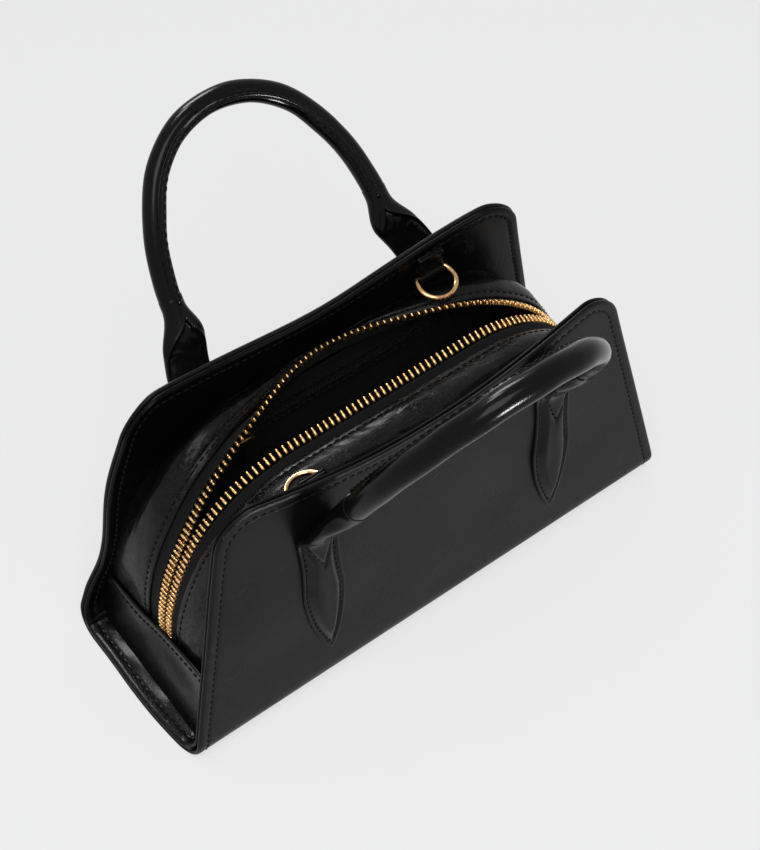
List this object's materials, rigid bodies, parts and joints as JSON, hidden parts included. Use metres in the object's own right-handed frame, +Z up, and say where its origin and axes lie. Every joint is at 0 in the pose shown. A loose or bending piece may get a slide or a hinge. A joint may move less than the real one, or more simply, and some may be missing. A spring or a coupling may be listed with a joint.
{
  "type": "top handle bag",
  "caption": "Small structured leather handbag with flared open-ended shell, zipped inner pouch, rolled handles on leaf tabs and rings for a shoulder strap.",
  "frame": {"origin": "middle of the base, on the surface that the bag stands on", "axes": "+X along the bag to its right hand end, +Y towards the rear panel, whose handle stands further back, +Z up"},
  "size_m": [0.246, 0.1959, 0.1954],
  "materials": {
    "black_leather": "soft gloss",
    "facing_leather": "satin",
    "board": "matt fibre board",
    "filler": "matt cord and felt",
    "lining_fabric": "woven satin",
    "zip_tape": "woven matt",
    "nylon_coil": "matt",
    "ring_metal": "polished pale gold plate",
    "zip_metal": "polished gold"
  },
  "bodies": {
    "shell": {"front_panel": "black_leather", "rear_panel": "black_leather", "base_panel": "black_leather", "front_board": "board", "rear_board": "board", "base_board": "board", "front_facing": "facing_leather", "rear_facing": "facing_leather", "base_facing": "facing_leather", "left_gusset": "black_leather", "right_gusset": "black_leather", "front_roof": "black_leather", "rear_roof": "black_leather", "front_zip_tape": "zip_tape", "rear_zip_tape": "zip_tape", "front_zip_teeth": "zip_metal", "rear_zip_teeth": "zip_metal", "zip_stops": "zip_metal", "front_lining": "lining_fabric", "rear_lining": "lining_fabric", "base_lining": "lining_fabric", "side_linings": "lining_fabric", "front_tabs": "black_leather", "rear_tabs": "black_leather", "tab_fillers": "filler", "front_ring_loop": "black_leather", "rear_ring_loop": "black_leather", "pocket_bag": "lining_fabric", "pocket_welt": "lining_fabric", "pocket_tape": "zip_tape", "pocket_coil": "nylon_coil", "slip_pocket": "lining_fabric"},
    "front_handle": {"front_handle_cover": "black_leather", "front_handle_rope": "filler", "front_handle_necks": "black_leather"},
    "rear_handle": {"rear_handle_cover": "black_leather", "rear_handle_rope": "filler", "rear_handle_necks": "black_leather"},
    "front_strap_ring": {"front_ring": "ring_metal"},
    "rear_strap_ring": {"rear_ring": "ring_metal"},
    "zip_slider": {"zip_slider": "zip_metal"},
    "zip_puller": {"zip_puller": "zip_metal"},
    "pocket_slider": {"pocket_slider": "zip_metal"},
    "pocket_puller": {"pocket_puller": "zip_metal"}
  },
  "joints": [
    {"name": "front_handle_swing", "type": "hinge", "parent": "shell", "child": "front_handle", "pos_m": [0, -0.0418, 0.10633], "axis": [1, 0, 0], "range_deg": [-25, 78]},
    {"name": "rear_handle_swing", "type": "hinge", "parent": "shell", "child": "rear_handle", "pos_m": [0, 0.0418, 0.10633], "axis": [-1, 0, 0], "range_deg": [-37, 66]},
    {"name": "front_ring_swing", "type": "hinge", "parent": "shell", "child": "front_strap_ring", "pos_m": [-0.0485, -0.02882, 0.1125], "axis": [1, 0, 0], "range_deg": [0, 90]},
    {"name": "rear_ring_swing", "type": "hinge", "parent": "shell", "child": "rear_strap_ring", "pos_m": [0.0485, 0.02882, 0.1125], "axis": [-1, 0, 0], "range_deg": [0, 90]},
    {"name": "zip_run", "type": "hinge", "parent": "shell", "child": "zip_slider", "pos_m": [0.002, -0.002, 0.029], "axis": [0, -1, 0], "range_deg": [0, 16]},
    {"name": "zip_puller_swing", "type": "hinge", "parent": "zip_slider", "child": "zip_puller", "pos_m": [0.10537, -0.002, 0.04638], "axis": [0, -1, 0], "range_deg": [0, 120]},
    {"name": "pocket_zip_run", "type": "slide", "parent": "shell", "child": "pocket_slider", "axis": [1, 0, 0], "range_m": [0, 0.09]},
    {"name": "pocket_puller_swing", "type": "hinge", "parent": "pocket_slider", "child": "pocket_puller", "pos_m": [-0.045, 0.02415, 0.08253], "axis": [-1, 0, 0], "range_deg": [0, 75]}
  ]
}
